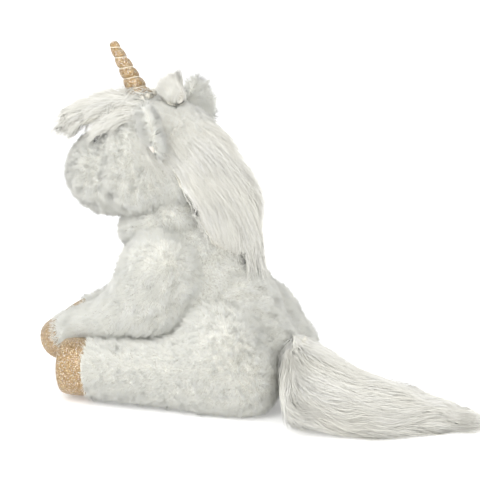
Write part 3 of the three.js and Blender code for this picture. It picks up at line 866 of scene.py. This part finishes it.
def build_tail():
    slices = tail_slices()
    end = slices[-1, 0] - TAIL_TIP
    _, (points, faces, facing) = bulk("tail_foot", "tail", "tail_hair", rounds=10, shrink=2.0, end=end)
    rooted = points.copy()
    rooted[:, 1] -= TAIL_TUCK * np.clip(1 - (points[:, 1] - slices[0, 0]) / TAIL_TUCK_SPAN, 0, 1)
    surface = (rooted, faces, facing)
    rates = np.gradient(slices[:, 1:], slices[:, 0], axis=0)

    def flow(p):
        y = p[:, 1]
        middle = np.stack([np.interp(y, slices[:, 0], slices[:, i]) for i in (1, 2)], 1)
        half = np.stack([np.interp(y, slices[:, 0], slices[:, i]) for i in (3, 4)], 1)
        drift = np.stack([np.interp(y, slices[:, 0], rates[:, i]) for i in (0, 1)], 1)
        spread = np.stack([np.interp(y, slices[:, 0], rates[:, i]) for i in (2, 3)], 1)
        share = (p[:, [0, 2]] - middle) / half
        held = np.clip(share, -1.05, 1.05)
        sideways = np.clip(drift + held * spread, -1.8, 1.8) - 3 * (share - held)
        return unit(np.stack([sideways[:, 0], np.ones(len(p)), sideways[:, 1]], 1))

    def not_tip(p):
        return p[:, 1] < end

    hair = long_hair("tail_hair_strands", 341, surface, flow, length=46, density=0.9, width=0.5,
                     rise=8.0, gravity=0.05, wander=0.16, keep=not_tip, loose=0.2, room=Room("tail"))
    for piece in hair:
        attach(piece, "tail_hair")


# ---- ears ----------------------------------------------------------------------------------------

def build_ears():
    for name, side in SIDES.items():
        points, faces, facing = softened(f"ear_{name}", 1.0, 6)
        piece = new_object(f"ear_{name}_coat", points, faces, [SHADED_PLUSH_BACKING])
        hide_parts(f"ear_{name}")
        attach(piece, f"{name}_ear")
        lining = node_points(f"ear_lining_{name}").mean(0)
        front = unit(lining - node_points(f"ear_{name}").mean(0))

        def not_lined(p, lining=lining, front=front):
            return (p - lining) @ front < 0.6

        for fur in pile(f"ear_{name}_fur", 400 + side, (points, faces, facing), upwards, not_lined,
                        length=10.0, density=4.5):
            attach(fur, f"{name}_ear")
    finish_nodes(LINING_CLOTH, "ear_lining_left", "ear_lining_right")


# ---- hooves, horn and eyes -----------------------------------------------------------------------

# Profiles as shares of the hoof's radius and length.
HOOF_WALL = ((0.80, 0), (0.96, 0.05), (1, 0.35), (1, 0.6), (0.965, 0.86), (0.90, 1), (0.82, 0.99))
HOOF_SOLE = ((0.86, 0.955), (0.84, 1.02), (0.70, 1.07), (0.4, 1.10), (0, 1.11))


def build_hooves():
    for name in SIDES:
        for leg, body in (("fore", "foreleg"), ("hind", "hind_leg")):
            cup_node, sole_node = f"{leg}_hoof_{name}", f"{leg}_sole_{name}"
            cup = node_points(cup_node)
            middle = cup.mean(0)
            axis = unit(node_points(sole_node).mean(0) - middle)
            along = (cup - middle) @ axis
            radius = np.linalg.norm(cup - middle - along[:, None] * axis, axis=1).max()
            start = middle + axis * along.min()
            length = along.max() - along.min()
            wall = rounded(np.array(HOOF_WALL) * (radius, length))

            def puckers(angles, distance, length=length):
                near_seam = math.exp(-((distance - length * 0.95) / (length * 0.12)) ** 2)
                near_cuff = math.exp(-(distance / (length * 0.2)) ** 2)
                return (near_seam * 0.22 * np.sin(angles * 26 + 0.7 * np.sin(3 * angles))
                        + near_cuff * 0.5 * np.sin(angles * 9 + 1.3 * np.sin(2 * angles)))

            points, faces = lathe(wall, start, axis, wobble=puckers)
            piece = new_object(f"{leg}_hoof_{name}_cloth", points, faces, [GLITTER])
            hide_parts(cup_node)
            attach(piece, f"{name}_{body}")
            disc = rounded(np.array(HOOF_SOLE) * (radius, length))
            points, faces = lathe(disc, start, axis)
            sole = new_object(f"{leg}_sole_{name}_cloth", points, faces, [GLITTER])
            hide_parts(sole_node)
            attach(sole, f"{name}_{body}")


HORN_TIP = 3.7  # the radius that the horn tapers to
HORN_TURNS = 6
HORN_ROUNDING = 0.95  # the share of the horn's length where its tip starts to round over
GROOVE_DEPTH = 0.24  # of the horn's radius
THREAD_PLACE = 0.79  # of the horn's radius
THREAD_RADIUS = 0.45
THREAD_SIDES = 8


def horn_axis():
    """The middle of the horn's foot and the way that it points."""
    points = node_points("horn_cover")
    low = points[points[:, 2] < np.percentile(points[:, 2], 25)].mean(0)
    high = points[points[:, 2] > np.percentile(points[:, 2], 75)].mean(0)
    return low, unit(high - low)


def build_horn():
    low, axis = horn_axis()
    points = node_points("horn_cover")
    along = (points - low) @ axis
    foot = low + axis * (along.min() - 1)
    length = along.max() - along.min() + 1
    radii = np.linalg.norm(points - low - along[:, None] * axis, axis=1)
    base = radii.max() + 0.5
    levels, sides = 220, 72
    angles = ring_angles(sides)
    across = unit(np.cross(axis, (0, 1, 0)))
    other = np.cross(axis, across)
    ways = ring_ways(angles, across, other)
    rings, thread = [], []
    for level in range(levels + 1):
        share = level / levels
        end = max(0.0, (share - HORN_ROUNDING) / (1 - HORN_ROUNDING))
        taper = (base + (HORN_TIP - base) * share) * math.sqrt(max(1 - end**2, 0.0004))
        turned = share * HORN_TURNS * math.pi
        bulge = np.abs(np.sin(angles / 2 + turned))
        radius = taper * (1 - GROOVE_DEPTH * (1 - bulge) ** 1.8)
        middle = foot + share * length * axis
        rings.append(middle + radius[:, None] * ways)
        if share < HORN_ROUNDING:
            groove = math.cos(-2 * turned) * across + math.sin(-2 * turned) * other
            thread.append(middle + taper * THREAD_PLACE * groove)
    cover = new_object("horn_cloth", np.concatenate(rings), tube_faces(levels + 1, sides), [GLITTER])
    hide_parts("horn_cover")
    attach(cover, "head")
    winding = thread_mesh("horn_winding", np.array(thread))
    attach(winding, "head")


def thread_mesh(name, path):
    """A round thread along a path."""
    along = unit(np.gradient(path, axis=0))
    across = unit(np.cross(along, (0.3, 0.9, 0.2)))
    other = np.cross(along, across)
    angles = ring_angles(THREAD_SIDES)
    rings = [place + THREAD_RADIUS * ring_ways(angles, a, b) for place, a, b in zip(path, across, other)]
    return new_object(name, np.concatenate(rings), tube_faces(len(path), THREAD_SIDES), [HORN_THREAD])


def build_eyes():
    for name in SIDES:
        washer = node_points(f"eye_washer_{name}").mean(0)
        eye = node_points(f"eye_{name}")
        axis = unit(eye.mean(0) - washer)
        along = (eye - washer) @ axis
        radius = np.linalg.norm(eye - washer - along[:, None] * axis, axis=1).max()
        top = along.max()
        profile = rounded([(radius * 0.9, top - 4.6), (radius, top - 3.8), (radius * 0.97, top - 2.6),
                           (radius * 0.75, top - 0.9), (radius * 0.4, top - 0.15), (0, top)])
        points, faces = lathe(profile, washer, axis, sides=64)
        piece = new_object(f"eye_{name}_dome", points, faces, [EYE_GLOSS])
        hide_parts(f"eye_{name}")
        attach(piece, "head")


# ---- stage ---------------------------------------------------------------------------------------

VIEW_AZIMUTH = math.radians(111)
VIEW_ELEVATION = math.radians(16)
VIEW_WIDTH = 0.384  # of the scene at the object, in metres
VIEW_SHIFT = (-0.0224, -0.0097)  # from the object's middle to the middle of the view, to the right and up
LENS = 200.0
FAR_CLIP = 50
LIGHTS_AIM = (0, 0.04, 0.12)
WORLD_STRENGTH = 1.07
FLOOR_STRENGTH = 0.22


def from_object(azimuth, elevation):
    """The way from the object towards a place at these angles."""
    return Vector((math.sin(azimuth) * math.cos(elevation), -math.cos(azimuth) * math.cos(elevation),
                   math.sin(elevation)))


def stand(thing, place, back):
    """Puts a camera or a light at a place, with a way to its back."""
    bpy.context.scene.collection.objects.link(thing)
    thing.location = place
    thing.rotation_mode = "QUATERNION"
    thing.rotation_quaternion = (-back).to_track_quat("-Z", "Y")


def build_camera():
    camera = bpy.data.objects.new("camera", bpy.data.cameras.new("camera"))
    camera.data.lens = LENS
    camera.data.clip_end = FAR_CLIP
    back = from_object(VIEW_AZIMUTH, VIEW_ELEVATION)
    right = Vector((math.cos(VIEW_AZIMUTH), math.sin(VIEW_AZIMUTH), 0))
    up = back.cross(right)
    aim = (cad_box[0] + cad_box[1]) / 2 + right * VIEW_SHIFT[0] + up * VIEW_SHIFT[1]
    stand(camera, aim + back * VIEW_WIDTH * LENS / camera.data.sensor_width, back)
    bpy.context.scene.camera = camera


def area_light(name, azimuth, elevation, distance, size, power):
    """A soft light, its angles in degrees and its distance and size in metres."""
    light = bpy.data.objects.new(name, bpy.data.lights.new(name, "AREA"))
    light.data.size = size
    light.data.energy = power
    back = from_object(math.radians(azimuth), math.radians(elevation))
    stand(light, Vector(LIGHTS_AIM) + back * distance, back)


def build_stage():
    scene = bpy.context.scene
    scene.view_settings.view_transform = "Standard"
    world = bpy.data.worlds.new("studio")
    world.use_nodes = True
    world.node_tree.nodes["Background"].inputs["Color"].default_value = (1, 1, 1, 1)
    world.node_tree.nodes["Background"].inputs["Strength"].default_value = WORLD_STRENGTH
    scene.world = world
    bpy.ops.mesh.primitive_plane_add(size=16)
    floor = bpy.context.active_object
    floor.name = "floor"
    paint, shader = principled("floor_paper", (0.96, 0.96, 0.96), 0.9)
    shader.inputs["Emission Color"].default_value = (1, 1, 1, 1)
    shader.inputs["Emission Strength"].default_value = FLOOR_STRENGTH
    floor.data.materials.append(paint)
    area_light("key", azimuth=85, elevation=42, distance=1.5, size=1.0, power=10)
    area_light("fill", azimuth=150, elevation=30, distance=1.6, size=1.2, power=3)


build_camera()
build_stage()
torso_shape, head_shape, face_surface = build_body_and_head()
build_legs(torso_shape)
build_mane(torso_shape, head_shape, face_surface)
build_forelock(head_shape, face_surface)
build_crown()
build_tail()
build_ears()
build_hooves()
build_horn()
build_eyes()
finish_nodes(STUFFING, "horn_stuffing")
finish_nodes(POUCH_CLOTH, "pellet_pouch")
finish_nodes(WASHER, "eye_washer_left", "eye_washer_right")
